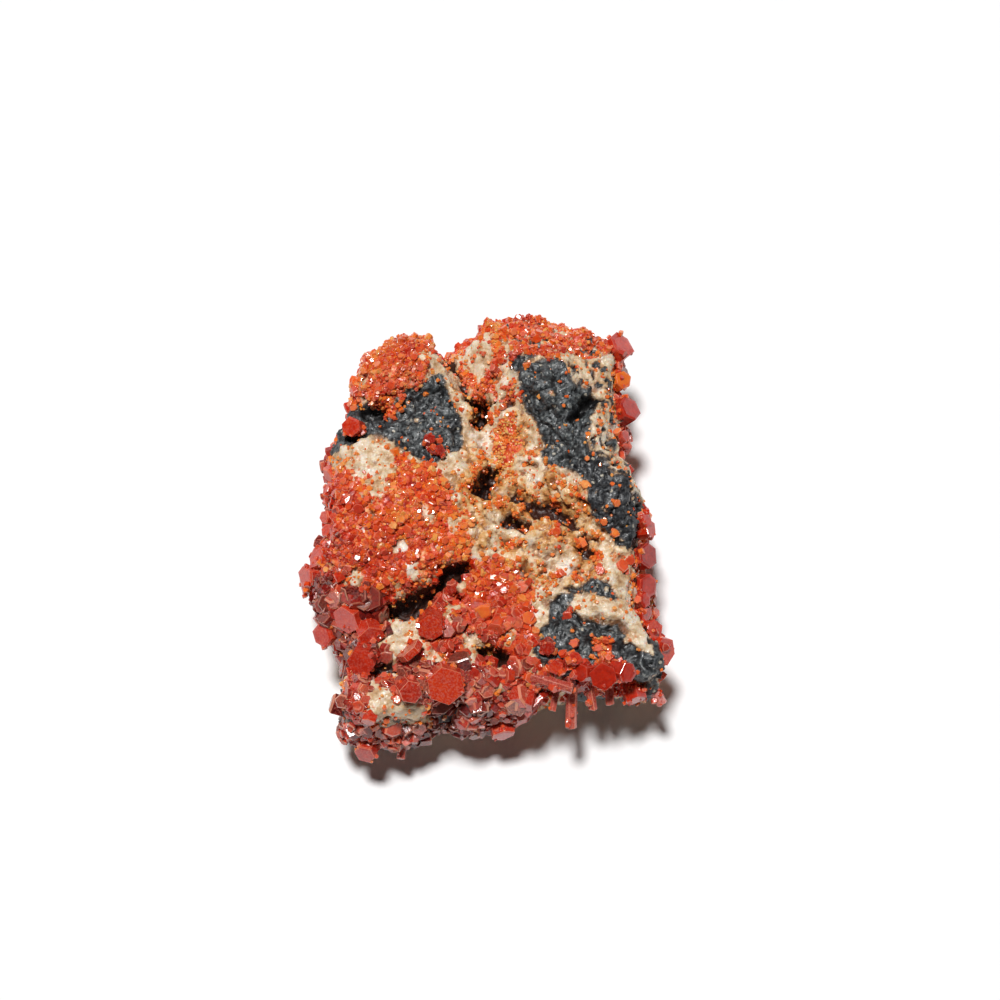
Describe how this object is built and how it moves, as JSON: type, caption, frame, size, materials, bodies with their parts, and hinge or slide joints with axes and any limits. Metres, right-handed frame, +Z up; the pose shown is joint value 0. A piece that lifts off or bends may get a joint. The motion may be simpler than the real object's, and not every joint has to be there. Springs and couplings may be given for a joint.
{
  "type": "vanadinite on matrix specimen",
  "caption": "Loose mineral specimen: a blocky barite and dark rock matrix overgrown with red hexagonal vanadinite crystals, resting on a flat base.",
  "frame": {"origin": "middle of the specimen's bounding box, on the face it rests on", "axes": "+Z up out of the resting face, +Y along the longest side toward the back, +X to the right"},
  "size_m": [0.0426, 0.0528, 0.0206],
  "materials": {
    "rock": "rough natural stone",
    "druse": "glittering crystal crust",
    "crystal_red": "glossy natural crystal faces",
    "crystal_pale": "glossy natural crystal faces"
  },
  "bodies": {
    "root": {"matrix": "rock", "crust_upper_left_cap": "druse", "crust_back_edge": "druse", "crust_back_right_edge": "druse", "crust_left_mound": "druse", "crust_left_lower_flank": "druse", "crust_terrace": "druse", "crust_near_left_corner": "druse", "crust_front_edge": "druse", "crust_front_right_rim": "druse", "crust_right_lower_flank": "druse", "crust_right_middle_flank": "druse", "crust_right_upper_flank": "druse", "crust_left_flank": "druse", "crust_back_flank": "druse", "tablet_terrace_large": "crystal_red", "plate_terrace_leaning": "crystal_red", "plate_terrace_low": "crystal_red", "tablet_terrace_upper": "crystal_red", "tablet_flank_hexagon": "crystal_red", "plates_flank_upper": "crystal_red", "plate_flank_edge": "crystal_red", "rosette_left": "crystal_red", "crystal_left_upper": "crystal_red", "crystal_left_middle": "crystal_red", "crystal_left_lower": "crystal_red", "tablet_left_hollow": "crystal_red", "crystals_left_dark": "crystal_red", "prism_front_level": "crystal_pale", "prism_front_short": "crystal_pale", "prism_front_long": "crystal_pale", "prism_front_second": "crystal_pale", "prism_front_third": "crystal_pale", "hexagon_front_right": "crystal_red", "prism_corner": "crystal_pale", "cluster_front_right": "crystal_red", "crystals_rim_near": "crystal_red", "tablet_right_top": "crystal_red", "tablet_right_shaded": "crystal_red", "tablet_right_orange": "crystal_red", "tablet_right_lower": "crystal_red", "crystal_right_small": "crystal_red", "crystals_right_middle": "crystal_red", "tablet_right_dark": "crystal_red", "tablet_right_low": "crystal_red", "crystals_right_low": "crystal_red", "cluster_right_corner": "crystal_red", "blades_front": "crystal_red", "tablet_front_tip": "crystal_red", "spike_front_left": "crystal_pale", "plate_base_left": "crystal_red", "crystal_dark_hollow": "crystal_red", "crystal_back_left": "crystal_red", "crystal_back_middle": "crystal_red"}
  },
  "joints": []
}
